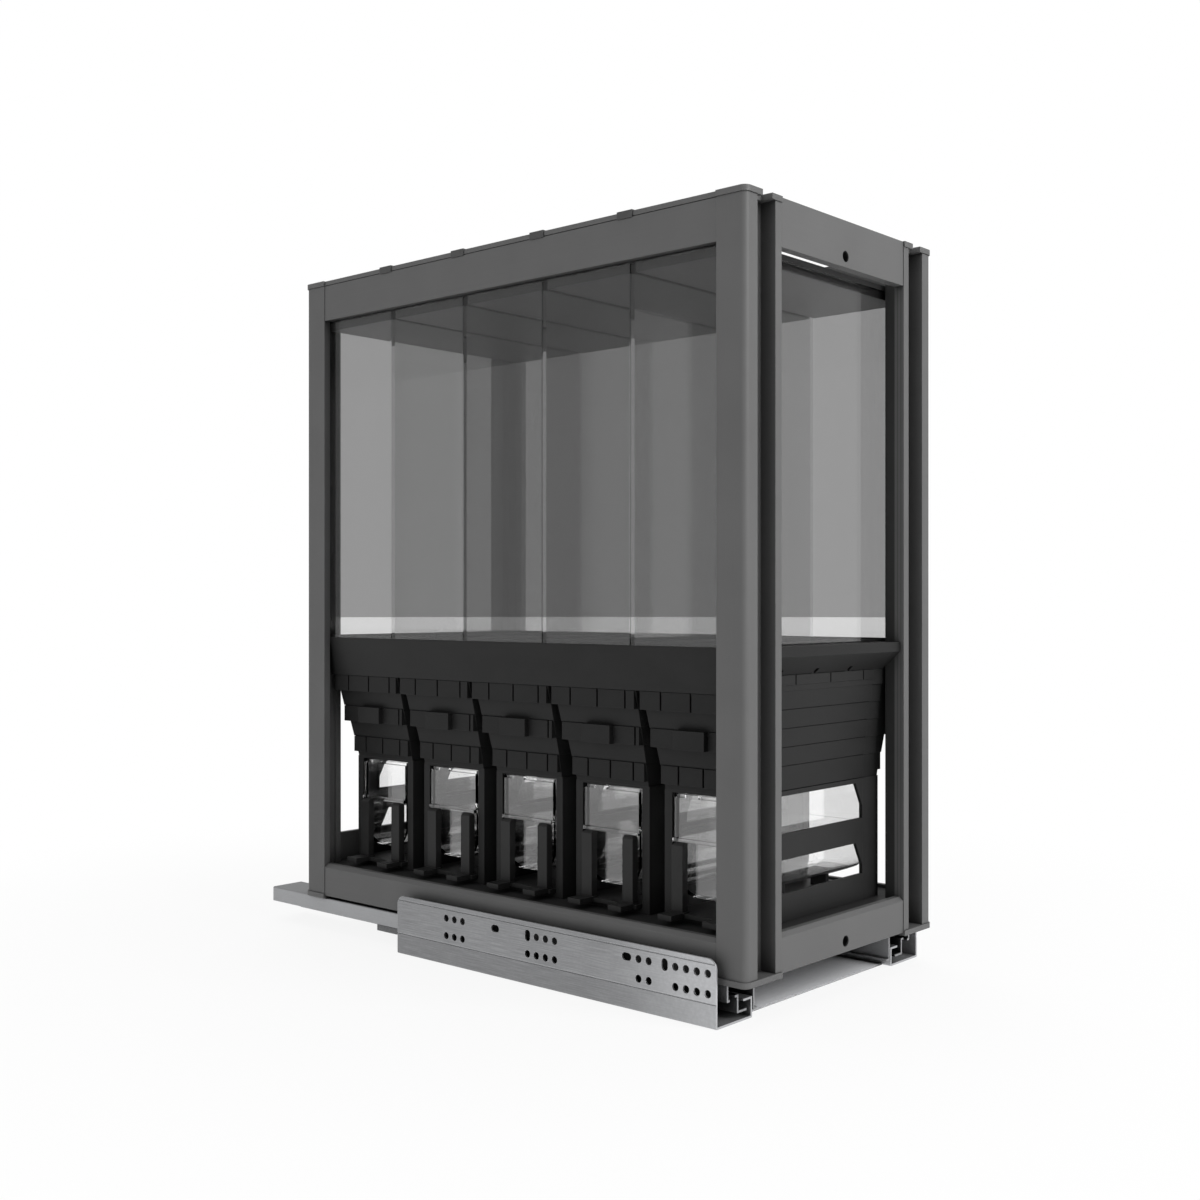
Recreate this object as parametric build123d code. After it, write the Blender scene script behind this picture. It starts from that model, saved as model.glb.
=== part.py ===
from build123d import *
import os

# Pull-out grain rack. +X is the front end that comes out first, +Z is up.
# Pieces are drawn about the middle of the rack, with z = 0 under the frame's bottom caps.

# Frame, over the posts and over the caps
frame_length = 465.5
frame_width = 245.0
frame_height = 527.0

# Corner posts
post_face = 24.2
post_flange = 6.0
post_depth = 16.0
post_width = 41.0
rear_post_width = 24.2
seal_groove_start = 16.2
seal_groove_width = 2.3
seal_groove_depth = 0.8
post_wall = 1.6
post_corner_radius = 4.0
groove_start = 13.0
groove_width = 20.8
groove_depth = 12.0
cap_thickness = 4.0
cap_overhang = 1.0
cap_corner_radius = 5.0
spigot_length = 5.5
spigot_gap = 0.15
cap_notch_width = 11.0
cap_notch_depth = 8.0

# Rails
rail_thickness = 7.5
rail_setback = 0.5
rail_wall = 1.5
rail_top_wall = 5.0
top_rail_height = 33.5
top_rail_drop = 0.3
bottom_rail_height = 26.9
rear_bottom_rail_height = 48.5
bottom_rail_lift = 2.5
bottom_rail_bevel = 3.0
lip_line_drop = 3.5
lip_line_size = 0.7
screw_port_height = 10.0
screw_port_margin = 5.0
rail_ledge_width = 6.0
rail_ledge_height = 3.0
runner_flange_width = 20.0
runner_flange_height = 4.0
door_hole_diameter = 8.0
door_hole_height = 7.8
door_pocket_diameter = 12.0

# Frame screws
frame_screw_diameter = 3.0
frame_screw_length = 19.6
frame_screw_head_diameter = 4.4
frame_screw_head_height = 2.5
screw_gap = 0.05
post_hole_gap = 0.1

# Floor plate inside the bottom rails
floor_thickness = 3.0
floor_drop = 2.4
floor_gap = 0.5

# Bays: one container, hopper, stand, cup and lid in each
bay_count = 5
bay_end_gap = 2.5
container_side_gap = 0.3
container_wall = 2.2
container_radius = 0.8
container_drop = 1.2
tray_top = 223.0

# Lids
lid_rise = 3.0
lid_depth = 6.3
lid_plate = 2.4
lid_wall = 1.6
lid_edge_gap = 0.1
lid_clip_gap = 0.2
lid_seat_gap = 0.2
lid_fit_gap = 0.3
grip_length = 76.0
grip_web = 3.0
grip_height = 17.0
grip_bead = 7.0

# Clips between neighbouring containers
clip_width = 14.0
clip_thickness = 0.8
clip_gap = 0.1
clip_lip = 4.5
clip_reach = 0.8

# Collar tray under the containers
tray_height = 32.2
tray_band = 7.2
tray_chamfer = 13.8
tray_side_slope = 6.5
tray_end_gap = 2.5
tray_post_gap = 0.3
tray_rib_height = 2.0
tray_rib_thickness = 1.5
tray_rib_gap = 0.3
end_block_proud = 0.7
end_block_margin = 4.2
end_block_joints = (-37.6, 7.5, 52.8)
end_notch_places = (-60.1, -15.0, 30.1)
end_notch_size = 4.0

# Hoppers
hopper_tiers = 5
tier_height = 13.4
hopper_foot = 4.2
hopper_wall = 2.2
hopper_side_gap = 0.3
hopper_panel = 1.2
hopper_panel_half_width = 67.0
tier_ledge = 0.7
outlet_half_x = 23.5
outlet_half_y = 69.0
block_proud = 1.5
block_face_proud = 0.8
block_gap = 1.6
block_row_margin = 0.3
block_joints = {0: (-22.0, 4.5, 31.0), 2: (-17.0, 33.0), 4: (-20.0, 2.0, 24.0)}
middle_block_width = 27.0
middle_block_proud = 5.5

# Stands
stand_half_x = 35.8
stand_half_y = 86.5
leg_x = 6.8
leg_y = 22.5
leg_wall = 2.5
stand_panel = 2.5
stand_panel_proud = 0.4
stand_ring = 1.8
deck_thickness = 3.7
upper_window = (89.3, 116.2)
lower_window = (47.0, 71.0)
window_side_margin = 0.7
window_chamfer_y = 9.5
window_chamfer_z = 17.5

# Cups and their sledges
portal_gap = 3.0
cup_wall = 2.0
cup_bottom = 45.0
cup_radius = 17.0
cup_top_gap = 1.0
cup_end_gap = 2.5
plate_bottom = 83.5
plate_thickness = 2.5
plate_height = 31.2
plate_side_gap = 2.6
plate_proud = 0.7
plate_lip = 2.0
plate_tab = 2.5
plate_tab_width = 12.0
plate_tab_place = -11.0
sledge_gap = 0.3
sledge_floor = 3.0
sledge_side_gap = 1.0
fork_inner = 15.0
fork_width = 9.8
fork_depth = 6.0
fork_overlap = 0.7
fork_chamfer = 2.2
fork_foot_reach = 14.5
fork_foot_height = 3.8
fork_foot_inner_margin = 1.5
fork_foot_outer_margin = 1.0
rest_half_width = 7.0
rest_thickness = 4.0
rest_spread = 60.0

# Runners
runner_height = 27.8
runner_side_gap = 7.0
runner_front = 17.2
sheet = 1.5
bend_radius = 1.2
cabinet_length = 318.0
cabinet_wall_top = 18.4
cabinet_foot_width = 40.5
cabinet_upturn = 14.5
cabinet_hook = 10.0
cabinet_nose_radius = 7.0
crease_depth = 0.4
crease_width = 0.9
crease_height = 16.7
top_crease_drop = 3.0
middle_length = 371.0
middle_inset = 23.3
middle_top = 9.0
middle_bottom = 21.5
middle_foot = 10.7
middle_lip = 2.3
drawer_length = 500.0
drawer_inset = 12.0
drawer_width = 31.2
drawer_outer_drop = 12.3
drawer_inner_drop = 22.8
drawer_foot = 3.0

# Mounting holes of the cabinet members, back from their front end
mount_hole_diameter = 5.5
mount_hole_pitch = 9.1
mount_row_gap = 13.5
mount_row_height = 8.3
mount_slot_length = 8.5
front_group_start = 6.9
front_group_columns = 4
front_slot_place = 43.4
second_group_start = 57.4
second_group_columns = 2
second_slot_place = 77.2
third_group_start = 145.6
third_group_columns = 3
third_slot_place = 172.8
lone_slot_place = 206.7
rear_group_start = 242.4
rear_group_columns = 3

# Plate between the cabinet members
base_plate_front = 7.7
base_plate_rear = 8.0

# Rollers of the runners
roller_count = 5
roller_pitch = 50.0
roller_rail_gap = 0.3
roller_seat_gap = 0.05
roller_length = 3.4
lower_roller_length = 7.0
roller_side_gap = 0.5
axle_diameter = 2.4
cage_thickness = 1.6
cage_height = 4.0
cage_margin = 8.0
cage_side_gap = 0.6

# Screws through the drawer members into the bottom rails
runner_screw_diameter = 4.0
runner_screw_length = 8.0
runner_screw_head_diameter = 8.0
runner_screw_head_height = 2.2
runner_screw_inset = 15.0
runner_screw_ends = 40.0

# Places worked out from the sizes above
half_length = frame_length / 2
half_width = frame_width / 2
post_bottom = cap_thickness
post_top = frame_height - cap_thickness
rail_outer_y = half_width - rail_setback
rail_inner_y = rail_outer_y - rail_thickness
rail_outer_x = half_length - rail_setback
rail_inner_x = rail_outer_x - rail_thickness
long_rail_end = half_length - post_face
end_rail_end = half_width - post_width
rear_rail_end = half_width - rear_post_width
long_screw_line = half_width - post_flange / 2
end_screw_line = rail_outer_x - rail_thickness / 2
rail_solid_height = screw_port_height + screw_port_margin
top_rail_top = frame_height - top_rail_drop
top_rail_bottom = top_rail_top - top_rail_height
bottom_rail_top = bottom_rail_lift + bottom_rail_height
rear_bottom_rail_top = bottom_rail_lift + rear_bottom_rail_height
floor_top = bottom_rail_top - floor_drop
floor_bottom = floor_top - floor_thickness

bay_half_run = half_length - post_depth - bay_end_gap
bay_pitch = 2 * bay_half_run / bay_count
bay_places = [(index - (bay_count - 1) / 2) * bay_pitch for index in range(bay_count)]
container_x = bay_pitch - 2 * container_side_gap
container_y = 2 * (half_width - post_flange)
container_top = top_rail_bottom - container_drop
lid_bottom = container_top + lid_seat_gap
lid_top = top_rail_bottom + lid_rise
lid_half_y = rail_inner_y - clip_gap - clip_thickness - lid_clip_gap
tray_bottom = tray_top - tray_height
hopper_bottom = tray_bottom - hopper_tiers * tier_height - hopper_foot
hopper_half_x = bay_pitch / 2 - hopper_side_gap - hopper_panel
hopper_half_y = container_y / 2 - tray_side_slope - block_proud
hopper_foot_x = stand_half_x + stand_panel_proud - hopper_panel
mouth_half_x = hopper_half_x - hopper_wall
mouth_half_y = hopper_half_y - hopper_wall
stand_top = hopper_bottom
ring_bottom = stand_top - stand_ring
deck_top = floor_top + deck_thickness
portal_half = stand_half_x - leg_x
cup_half_x = portal_half - portal_gap
cup_top = ring_bottom - cup_top_gap
cup_half_y = stand_half_y - cup_end_gap
plate_front = stand_half_y + plate_proud
plate_back = plate_front - plate_thickness
plate_half = portal_half - plate_side_gap
sledge_bottom = deck_top + sledge_gap
sledge_top = sledge_bottom + sledge_floor
fork_back = plate_front - fork_overlap
fork_front = fork_back + fork_depth

runner_half_width = half_width + cap_overhang + runner_side_gap + sheet
middle_outer = runner_half_width - middle_inset
drawer_outer = runner_half_width - drawer_inset
runner_nose = half_length - runner_front
cabinet_tail = runner_nose - cabinet_length
middle_tail = runner_nose - middle_length
drawer_tail = runner_nose - drawer_length
cabinet_inner = runner_half_width - cabinet_foot_width
foot_top = sheet - runner_height

# The row's origin lies under the middle of the whole object
front_reach = half_length + cap_overhang
rack_shift = (-drawer_tail - front_reach) / 2
place = Pos(rack_shift, 0, runner_height)


def block(x0, x1, y0, y1, z0, z1):
    """Box between two corners."""
    centre = Pos((x0 + x1) / 2, (y0 + y1) / 2, (z0 + z1) / 2)
    return centre * Box(x1 - x0, y1 - y0, z1 - z0)


def rect(u0, u1, v0, v1):
    """Rectangle between two corners of a flat sketch."""
    return Pos((u0 + u1) / 2, (v0 + v1) / 2) * Rectangle(u1 - u0, v1 - v0)


def upright(sketch, z0, z1):
    """Sketch in X and Y, raised from z0 to z1."""
    return extrude(Pos(0, 0, z0) * sketch, amount=z1 - z0, dir=(0, 0, 1))


def along_x(sketch, x0, x1):
    """Sketch in Y and Z, drawn out from x0 to x1."""
    return extrude(Plane.YZ.offset(x0) * sketch, amount=x1 - x0, dir=(1, 0, 0))


def along_y(sketch, y0, y1):
    """Sketch in X and Z, drawn out from y0 to y1."""
    return extrude(Plane.XZ.offset(-y0) * sketch, amount=y1 - y0, dir=(0, 1, 0))


def rod_x(x0, x1, y, z, diameter):
    """Round bar along X."""
    return along_x(Pos(y, z) * Circle(diameter / 2), x0, x1)


def rod_y(y0, y1, x, z, diameter):
    """Round bar along Y."""
    return along_y(Pos(x, z) * Circle(diameter / 2), y0, y1)


def rod_z(z0, z1, x, y, diameter):
    """Round bar along Z."""
    return upright(Pos(x, y) * Circle(diameter / 2), z0, z1)


def rounded(width, depth, radius):
    """Rectangle about the origin with round corners."""
    return RectangleRounded(width, depth, radius)


def in_x(shape):
    """The same shape at the other end."""
    return mirror(shape, about=Plane.YZ)


def in_y(shape):
    """The same shape on the other side."""
    return mirror(shape, about=Plane.XZ)


def corners(front, rear):
    """One piece for each corner, from a front and a rear piece that are both drawn at +X and +Y."""
    return {
        "front_left": front,
        "front_right": in_y(front),
        "rear_left": in_x(rear),
        "rear_right": in_x(in_y(rear)),
    }


def group(shapes):
    """Separate solids that share one node."""
    return Compound(children=[solid for shape in shapes for solid in shape.solids()])


def post_body(width, overhang=0.0, radius=post_corner_radius):
    """Outside of a post of that width across the rack: outer flange and body."""
    outer_x = half_length + overhang
    outer_y = half_width + overhang
    flange = rect(half_length - post_face, outer_x, half_width - post_flange, outer_y)
    body = rect(half_length - post_depth, outer_x, half_width - width, outer_y)
    outline = flange + body
    corner = max(outline.vertices(), key=lambda vertex: vertex.X + vertex.Y)
    return fillet(corner, radius)


def face_slot(width, depth, overhang=0.0):
    """Slot in the end face of a front post, on the middle line of its groove."""
    middle = half_width - groove_start - groove_width / 2
    return rect(half_length - depth, half_length + overhang, middle - width / 2, middle + width / 2)


def seal_groove():
    """Fine groove in the face of a post that looks along the rack."""
    inner_x = half_length - post_depth
    outer_y = half_width - seal_groove_start
    return rect(inner_x - 1, inner_x + seal_groove_depth, outer_y - seal_groove_width, outer_y)


def chamber(y0, y1, gap):
    """Hollow of a post between its faces at y0 and y1."""
    wall = post_wall + gap
    return rect(half_length - post_depth + wall, half_length - wall, y0 + wall, y1 - wall)


def front_chambers(gap=0.0):
    """Hollows of a front post, one on each side of its groove."""
    groove_outer = half_width - groove_start
    groove_inner = groove_outer - groove_width
    return [chamber(groove_outer, half_width, gap), chamber(half_width - post_width, groove_inner, gap)]


def rear_chambers(gap=0.0):
    """Hollow of a rear post."""
    return [chamber(half_width - rear_post_width, half_width, gap)]


def screw_heights():
    """Height of the screws in the bottom and the top rails."""
    return [bottom_rail_lift + screw_port_height, top_rail_bottom + screw_port_height]


def drilled_post(section, hollows, rail_end):
    """Post of that section, with the holes for its screws; the end rails stop at rail_end."""
    section -= seal_groove()
    for hollow in hollows:
        section -= hollow
    post = upright(section, post_bottom, post_top)
    hole = frame_screw_diameter + 2 * (screw_gap + post_hole_gap)
    head_bore = frame_screw_head_diameter + 2 * screw_gap
    chamber_start = half_length - post_depth + post_wall
    for height in screw_heights():
        post -= rod_x(long_rail_end - 1, long_rail_end + post_wall + 1, long_screw_line, height, hole)
        post -= rod_x(long_rail_end + post_wall, chamber_start + 1, long_screw_line, height, head_bore)
        post -= rod_y(rail_end - 1, rail_end + post_wall + 1, end_screw_line, height, hole)
    return post


def corner_posts():
    """Posts by corner: wide ones with a groove at the front, narrow plain ones at the rear."""
    front_section = post_body(post_width) - face_slot(groove_width, groove_depth)
    front = drilled_post(front_section, front_chambers(), end_rail_end)
    rear = drilled_post(post_body(rear_post_width), rear_chambers(), rear_rail_end)
    return corners(front, rear)


def post_cap(outline, spigots, z0, spigot_z0):
    """Cap on the end of a post, with a spigot in each hollow."""
    cap = upright(outline, z0, z0 + cap_thickness)
    for spigot in spigots:
        cap += upright(spigot, spigot_z0, spigot_z0 + spigot_length)
    return cap


def post_caps():
    """The four bottom caps, and the four top caps, the front ones with a notch over the groove."""
    front = post_body(post_width, cap_overhang, cap_corner_radius)
    rear = post_body(rear_post_width, cap_overhang, cap_corner_radius)
    notched = front - face_slot(cap_notch_width, cap_notch_depth, cap_overhang)
    front_spigots = front_chambers(spigot_gap)
    rear_spigots = rear_chambers(spigot_gap)
    top_spigot_z = post_top - spigot_length
    bottom = corners(post_cap(front, front_spigots, 0, post_bottom),
                     post_cap(rear, rear_spigots, 0, post_bottom))
    top = corners(post_cap(notched, front_spigots, post_top, top_spigot_z),
                  post_cap(rear, rear_spigots, post_top, top_spigot_z))
    return group(bottom.values()), group(top.values())


def long_rail(z0, z1):
    """Plain long rail on the left side, hollow above its screw port."""
    section = rect(rail_inner_y, rail_outer_y, z0, z1)
    hollow = rect(
        rail_inner_y + rail_wall, rail_outer_y - rail_wall, z0 + rail_solid_height, z1 - rail_top_wall
    )
    rail = along_x(section - hollow, -long_rail_end, long_rail_end)
    hole = frame_screw_diameter + 2 * screw_gap
    bore_start = long_rail_end - frame_screw_length
    bore = rod_x(bore_start, long_rail_end + 1, long_screw_line, z0 + screw_port_height, hole)
    return rail - bore - in_x(bore)


def end_rail(z0, z1, rail_end):
    """Plain rail across the front end: hollow above its screw port, with a bracket hole and its pocket."""
    section = rect(rail_inner_x, rail_outer_x, z0, z1)
    hollow = rect(
        rail_inner_x + rail_wall, rail_outer_x - rail_wall, z0 + rail_solid_height, z1 - rail_top_wall
    )
    rail = along_y(section - hollow, -rail_end, rail_end)
    hole = frame_screw_diameter + 2 * screw_gap
    bore = rod_y(rail_end - frame_screw_length, rail_end + 1, end_screw_line, z0 + screw_port_height, hole)
    door_hole_z = z0 + door_hole_height
    rail -= rod_x(rail_outer_x - 2 * rail_wall, rail_outer_x + 1, 0, door_hole_z, door_hole_diameter)
    rail -= rod_x(rail_inner_x + rail_wall, rail_outer_x - rail_wall, 0, door_hole_z, door_pocket_diameter)
    return rail - bore - in_y(bore)


def top_long_rail():
    """Top rail on the left side, with a fine line under its top edge."""
    rail = long_rail(top_rail_bottom, top_rail_top)
    line_z = top_rail_top - lip_line_drop
    line = rect(rail_outer_y - lip_line_size, rail_outer_y + 1, line_z - lip_line_size, line_z)
    return rail - along_x(line, -long_rail_end, long_rail_end)


def runner_screw_places():
    """Places of the drawer member screws along X."""
    front = runner_nose - runner_screw_ends
    rear = runner_screw_ends - half_length
    return [rear, rear + (front - rear) / 3, front - (front - rear) / 3, front]


def bottom_long_rail():
    """Bottom rail on the left side: bevelled top, floor ledge and runner flange."""
    rail = long_rail(bottom_rail_lift, bottom_rail_top)
    edges = rail.edges().filter_by(Axis.X)
    top_outer = max(edges, key=lambda edge: edge.center().Y + edge.center().Z)
    rail = chamfer(top_outer, bottom_rail_bevel)
    ledge_bottom = floor_bottom - rail_ledge_height
    ledge = rect(rail_inner_y - rail_ledge_width, rail_inner_y, ledge_bottom, floor_bottom)
    flange = rect(rail_inner_y - runner_flange_width, rail_inner_y, 0, runner_flange_height)
    rail += along_x(ledge, -long_rail_end, long_rail_end)
    rail += along_x(flange, -long_rail_end, long_rail_end)
    hole = runner_screw_diameter + 2 * screw_gap
    for x in runner_screw_places():
        rail -= rod_z(-1, runner_flange_height + 1, x, runner_screw_y(), hole)
    return rail


def bottom_end_rail(rail_top, rail_end):
    """Bottom rail across the front end, up to rail_top: bevelled top and floor ledge."""
    rail = end_rail(bottom_rail_lift, rail_top, rail_end)
    edges = rail.edges().filter_by(Axis.Y)
    top_outer = max(edges, key=lambda edge: edge.center().X + edge.center().Z)
    rail = chamfer(top_outer, bottom_rail_bevel)
    ledge_bottom = floor_bottom - rail_ledge_height
    ledge = rect(rail_inner_x - rail_ledge_width, rail_inner_x, ledge_bottom, floor_bottom)
    rail += along_y(ledge, -rail_end, rail_end)
    return rail


def long_screw(height):
    """Screw into the end of a long rail."""
    seat = long_rail_end + post_wall
    screw = rod_x(seat - frame_screw_length, seat, long_screw_line, height, frame_screw_diameter)
    head = rod_x(seat, seat + frame_screw_head_height, long_screw_line, height, frame_screw_head_diameter)
    return screw + head


def end_screw(height, rail_end):
    """Screw into the end of an end rail that stops at rail_end."""
    seat = rail_end + post_wall
    screw = rod_y(seat - frame_screw_length, seat, end_screw_line, height, frame_screw_diameter)
    head = rod_y(seat, seat + frame_screw_head_height, end_screw_line, height, frame_screw_head_diameter)
    return screw + head


def frame_screws():
    """Screws from the posts into the rail ends, heads inside the posts."""
    screws = []
    for height in screw_heights():
        screws += corners(long_screw(height), long_screw(height)).values()
        screws += corners(end_screw(height, end_rail_end), end_screw(height, rear_rail_end)).values()
    return group(screws)


def floor_plate():
    """Plate that the stands rest on, seated on the rails' ledges."""
    side_y = rail_inner_y - floor_gap
    main_x = half_length - post_depth - floor_gap
    end_x = rail_inner_x - floor_gap
    front_y = end_rail_end - floor_gap
    rear_y = rear_rail_end - floor_gap
    sketch = rect(-main_x, main_x, -side_y, side_y)
    sketch += rect(0, end_x, -front_y, front_y)
    sketch += rect(-end_x, 0, -rear_y, rear_y)
    return upright(sketch, floor_bottom, floor_top)


def container(x):
    """Clear container, open at the top and the bottom."""
    outer = rounded(container_x, container_y, container_radius)
    inner = Rectangle(container_x - 2 * container_wall, container_y - 2 * container_wall)
    return Pos(x, 0, 0) * upright(outer - inner, tray_top, container_top)


def lid(x):
    """Lid between the top rails: a flat pan inside the container, its rim, and a beaded pinch grip."""
    pan_x = container_x - 2 * container_wall - 2 * lid_fit_gap
    pan_y = 2 * lid_half_y - 2 * lid_fit_gap
    pan_bottom = lid_bottom - lid_depth
    plate_top = pan_bottom + lid_plate
    well = Rectangle(pan_x - 2 * lid_wall, pan_y - 2 * lid_wall)
    rim = Rectangle(container_x - 2 * lid_edge_gap, 2 * lid_half_y)
    form = upright(Rectangle(pan_x, pan_y), pan_bottom, plate_top)
    form += upright(Rectangle(pan_x, pan_y) - well, plate_top, lid_bottom)
    form += upright(rim - well, lid_bottom, lid_top)
    bead_z = plate_top + grip_height - grip_bead / 2
    form += block(-grip_web / 2, grip_web / 2, -grip_length / 2, grip_length / 2, plate_top, bead_z)
    bead = rod_y(-grip_length / 2, grip_length / 2, 0, bead_z, grip_bead)
    form += fillet(bead.edges().filter_by(GeomType.CIRCLE), grip_bead / 3)
    return Pos(x, 0, 0) * form


def container_clips():
    """Clips over the long top rails, one at each joint between two containers, both sides."""
    inner = rail_inner_y - clip_gap
    outer = rail_outer_y + clip_gap
    leg = rect(inner - clip_thickness, inner, top_rail_bottom - clip_reach, top_rail_top)
    bridge = rect(inner - clip_thickness, outer + clip_thickness, top_rail_top, top_rail_top + clip_thickness)
    lip = rect(outer, outer + clip_thickness, top_rail_top - clip_lip, top_rail_top)
    section = leg + bridge + lip
    clips = []
    for x in bay_places[:-1]:
        joint = x + bay_pitch / 2
        clip = along_x(section, joint - clip_width / 2, joint + clip_width / 2)
        clips += [clip, in_y(clip)]
    return group(clips)


def tray_end(rail_end):
    """Front end of the tray, between posts that start at rail_end: band, chamfer, and a row of blocks."""
    end_x = rail_outer_x - tray_end_gap
    end_y = rail_end - tray_post_gap
    band_z = tray_top - tray_band
    wall_z = band_z - tray_chamfer
    section = Polygon((0, wall_z), (bay_half_run, wall_z), (end_x, band_z), (end_x, tray_top), (0, tray_top))
    end = along_y(section, -end_y, end_y)
    face = bay_half_run + end_block_proud
    row_bottom = tray_bottom + end_block_margin
    end += block(0, face, -hopper_panel_half_width, hopper_panel_half_width, row_bottom, wall_z)
    for y in end_block_joints:
        end -= block(face - block_gap, face + 1, y - block_gap / 2, y + block_gap / 2, row_bottom, wall_z)
    for y in end_notch_places:
        end -= block(bay_half_run, end_x, y - end_notch_size / 2, y + end_notch_size / 2, wall_z,
                     wall_z + end_notch_size)
    return end


def container_tray():
    """Collar under the containers: sloped sides, stepped ends between the posts, locating ribs."""
    top_y = container_y / 2
    low_y = top_y - tray_side_slope
    tray = loft([
        Pos(0, 0, tray_bottom) * Rectangle(2 * bay_half_run, 2 * low_y),
        Pos(0, 0, tray_top) * Rectangle(2 * bay_half_run, 2 * top_y),
    ])
    tray += tray_end(end_rail_end)
    tray += in_x(tray_end(rear_rail_end))
    rib_x = container_x / 2 - container_wall - tray_rib_gap
    rib_y = container_y / 2 - container_wall - tray_rib_gap
    rib = Rectangle(2 * rib_x, 2 * rib_y)
    rib -= Rectangle(2 * (rib_x - tray_rib_thickness), 2 * (rib_y - tray_rib_thickness))
    mouth = block(-mouth_half_x, mouth_half_x, -mouth_half_y, mouth_half_y, tray_bottom - 1, tray_top + 1)
    for x in bay_places:
        tray -= Pos(x, 0, 0) * mouth
        tray += Pos(x, 0, 0) * upright(rib, tray_top, tray_top + tray_rib_height)
    return tray


def tier_half_sizes(share):
    """Half sizes of the hopper's outside, from its top at 0 to its bottom at 1."""
    half_x = hopper_half_x + (hopper_foot_x - hopper_half_x) * share
    half_y = hopper_half_y + (stand_half_y - hopper_half_y) * share
    return half_x, half_y


def hopper_tier(index):
    """One sloped tier of the hopper, with its side panels."""
    z1 = tray_bottom - index * tier_height
    z0 = z1 - tier_height
    if index == hopper_tiers - 1:
        z0 = hopper_bottom
    top_x, top_y = tier_half_sizes(index / hopper_tiers)
    low_x, low_y = tier_half_sizes((index + 1) / hopper_tiers)
    top_x -= tier_ledge * (index > 0)
    top_y -= tier_ledge * (index > 0)
    body = loft([
        Pos(0, 0, z0) * Rectangle(2 * low_x, 2 * low_y),
        Pos(0, 0, z1) * Rectangle(2 * top_x, 2 * top_y),
    ])
    panel_y = hopper_panel_half_width - index * tier_ledge
    panel = loft([
        Pos(0, 0, z0 + tier_ledge) * Rectangle(2 * (low_x + hopper_panel), 2 * panel_y),
        Pos(0, 0, z1) * Rectangle(2 * (top_x + hopper_panel), 2 * panel_y),
    ])
    return body + panel


def tier_blocks(index):
    """Row of raised blocks on the long faces of one tier."""
    z1 = tray_bottom - index * tier_height - block_row_margin
    z0 = z1 - tier_height + block_row_margin
    top_y = tier_half_sizes(index / hopper_tiers)[1]
    low_x, low_y = tier_half_sizes((index + 1) / hopper_tiers)
    back = low_y - hopper_wall
    joints = [-low_x - block_gap, *block_joints[index], low_x]
    spans = [(left + block_gap, right) for left, right in zip(joints, joints[1:])]
    blocks = [block(left, right, back, top_y + block_face_proud, z0, z1) for left, right in spans]
    if index == hopper_tiers // 2:
        half = middle_block_width / 2
        blocks.append(block(-half, half, back, top_y + middle_block_proud, z0, z1 + block_row_margin))
    return blocks


def hopper_form():
    """Stepped hopper with a sloping inside, open at the top and the bottom."""
    form = hopper_tier(0)
    for index in range(1, hopper_tiers):
        form += hopper_tier(index)
    for index in block_joints:
        for piece in tier_blocks(index):
            form += piece
            form += in_y(piece)
    inside = loft([
        Pos(0, 0, hopper_bottom) * Rectangle(2 * outlet_half_x, 2 * outlet_half_y),
        Pos(0, 0, tray_bottom) * Rectangle(2 * mouth_half_x, 2 * mouth_half_y),
    ])
    return form - inside


def side_window(z0, z1):
    """Window in a side wall, with its top corners cut off."""
    half = stand_half_y - leg_y - window_side_margin
    return Polygon(
        (-half, z0), (half, z0), (half, z1 - window_chamfer_z), (half - window_chamfer_y, z1),
        (window_chamfer_y - half, z1), (-half, z1 - window_chamfer_z),
    )


def stand_form():
    """Stand under a hopper: deck, four angle legs, side walls with windows, and a top ring."""
    form = block(-stand_half_x, stand_half_x, -stand_half_y, stand_half_y, floor_top, deck_top)
    wall_y = stand_half_y - leg_y
    leg = block(stand_half_x - leg_wall, stand_half_x, wall_y - window_side_margin, stand_half_y, floor_top,
                ring_bottom)
    leg += block(stand_half_x - leg_x, stand_half_x, stand_half_y - leg_wall, stand_half_y, floor_top,
                 ring_bottom)
    for piece in corners(leg, leg).values():
        form += piece
    ring = Rectangle(2 * stand_half_x, 2 * stand_half_y) - Rectangle(2 * outlet_half_x, 2 * outlet_half_y)
    form += upright(ring, ring_bottom, stand_top)
    wall_outer = stand_half_x + stand_panel_proud
    wall = block(wall_outer - stand_panel, wall_outer, -wall_y, wall_y, floor_top, stand_top)
    for window in (upper_window, lower_window):
        wall -= along_x(side_window(*window), wall_outer - stand_panel - 1, wall_outer + 1)
    return form + wall + in_x(wall)


def trough(half_x, y0, y1, z0, z1, radius):
    """Long solid with a round bottom, as the outside or the inside of a cup."""
    section = rect(-half_x, half_x, z0, z1)
    bottom = [vertex for vertex in section.vertices() if vertex.Y < z0 + 0.1]
    return along_y(fillet(bottom, radius), y0, y1)


def cup_form():
    """Clear cup: trough, front plate with its lip and tab, and a plain rear plate."""
    form = trough(cup_half_x, -plate_back, cup_half_y, cup_bottom, cup_top, cup_radius)
    plate_top = plate_bottom + plate_height
    form += block(-plate_half, plate_half, -plate_front, -plate_back, plate_bottom, plate_top)
    form += block(-plate_half, plate_half, -plate_front - plate_lip, -plate_front, plate_bottom,
                  plate_bottom + plate_thickness)
    tab_start = plate_tab_place - plate_tab_width / 2
    form += block(tab_start, tab_start + plate_tab_width, -plate_front, -plate_back, plate_top,
                  plate_top + plate_tab)
    form += block(-plate_half, plate_half, cup_half_y, cup_half_y + plate_thickness, plate_bottom, cup_top)
    return form - trough(cup_half_x - cup_wall, cup_wall - plate_back, cup_half_y - cup_wall,
                         cup_bottom + cup_wall, cup_top + 1, cup_radius - cup_wall)


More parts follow.
